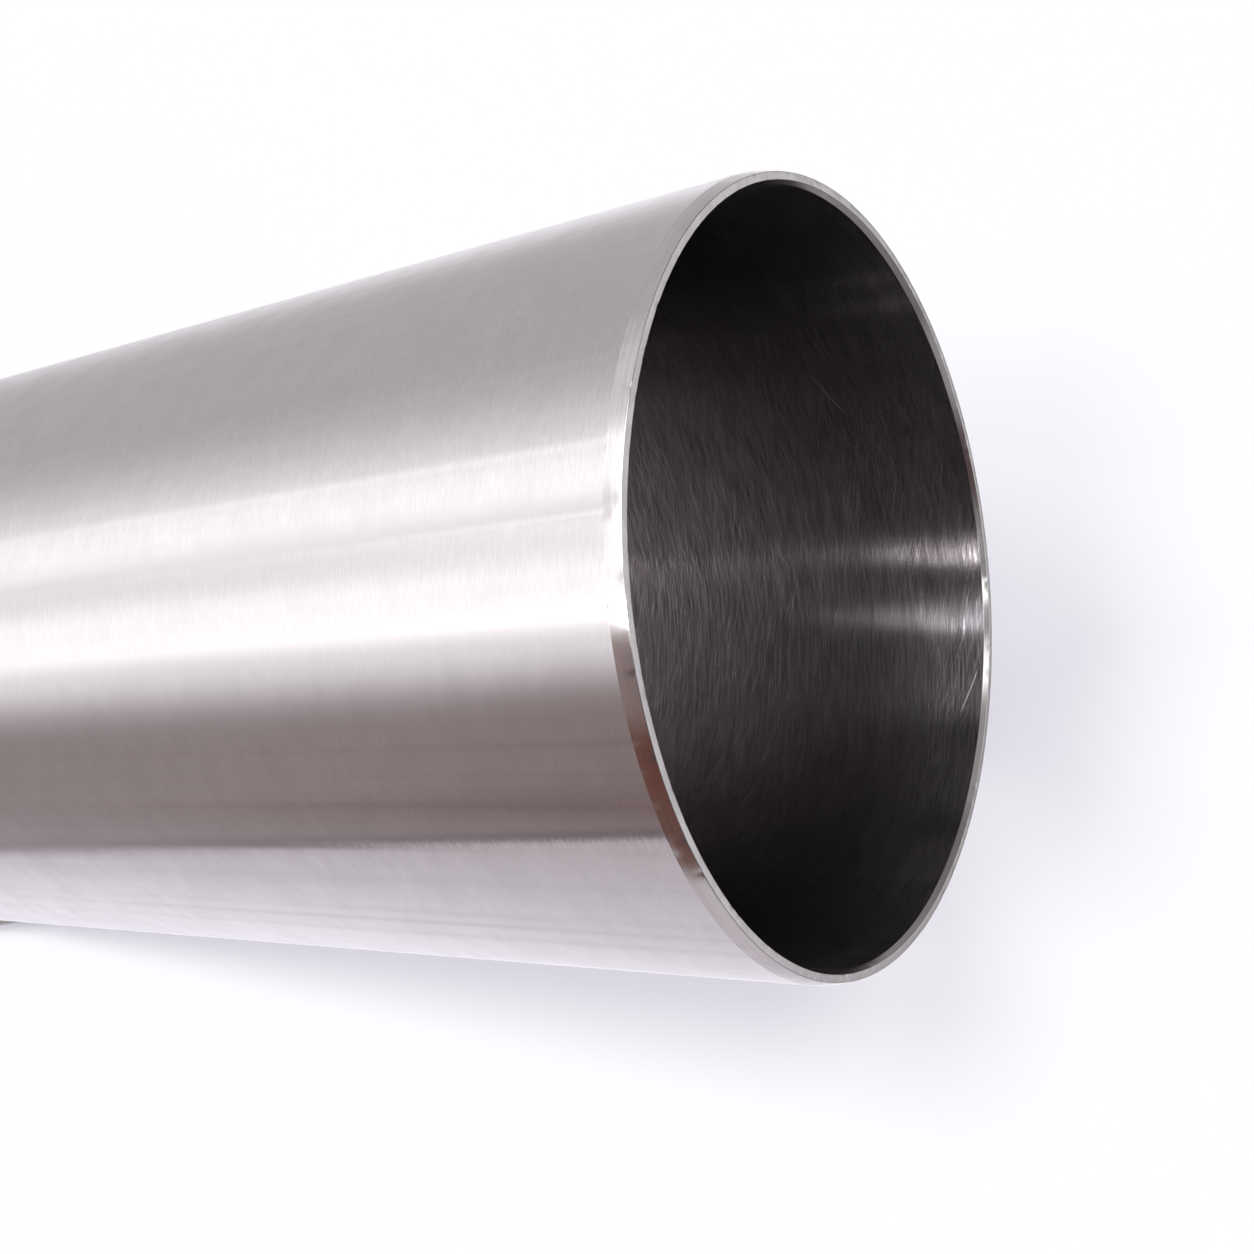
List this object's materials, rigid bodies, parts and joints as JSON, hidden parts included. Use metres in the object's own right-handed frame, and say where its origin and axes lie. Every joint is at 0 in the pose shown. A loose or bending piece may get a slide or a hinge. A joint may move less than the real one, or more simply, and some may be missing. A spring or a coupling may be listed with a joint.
{
  "type": "cylinder liner",
  "caption": "Thin-walled dry cylinder liner with a honed through bore, ground outside, tapered lead-in end and narrow locating flange.",
  "frame": {"origin": "centre of the bore in the flange's end face, on which the liner stands", "axes": "+Z along the bore, from the flange end up to the tapered lead-in end; the part is the same all the way round Z"},
  "size_m": [0.1076, 0.1076, 0.191],
  "materials": {
    "liner_iron": "bright satin ground outside with fine lines round it, cross-hatched honed bore, turned chamfers and end faces"
  },
  "bodies": {
    "root": {"cylinder_liner": "liner_iron"}
  },
  "joints": []
}
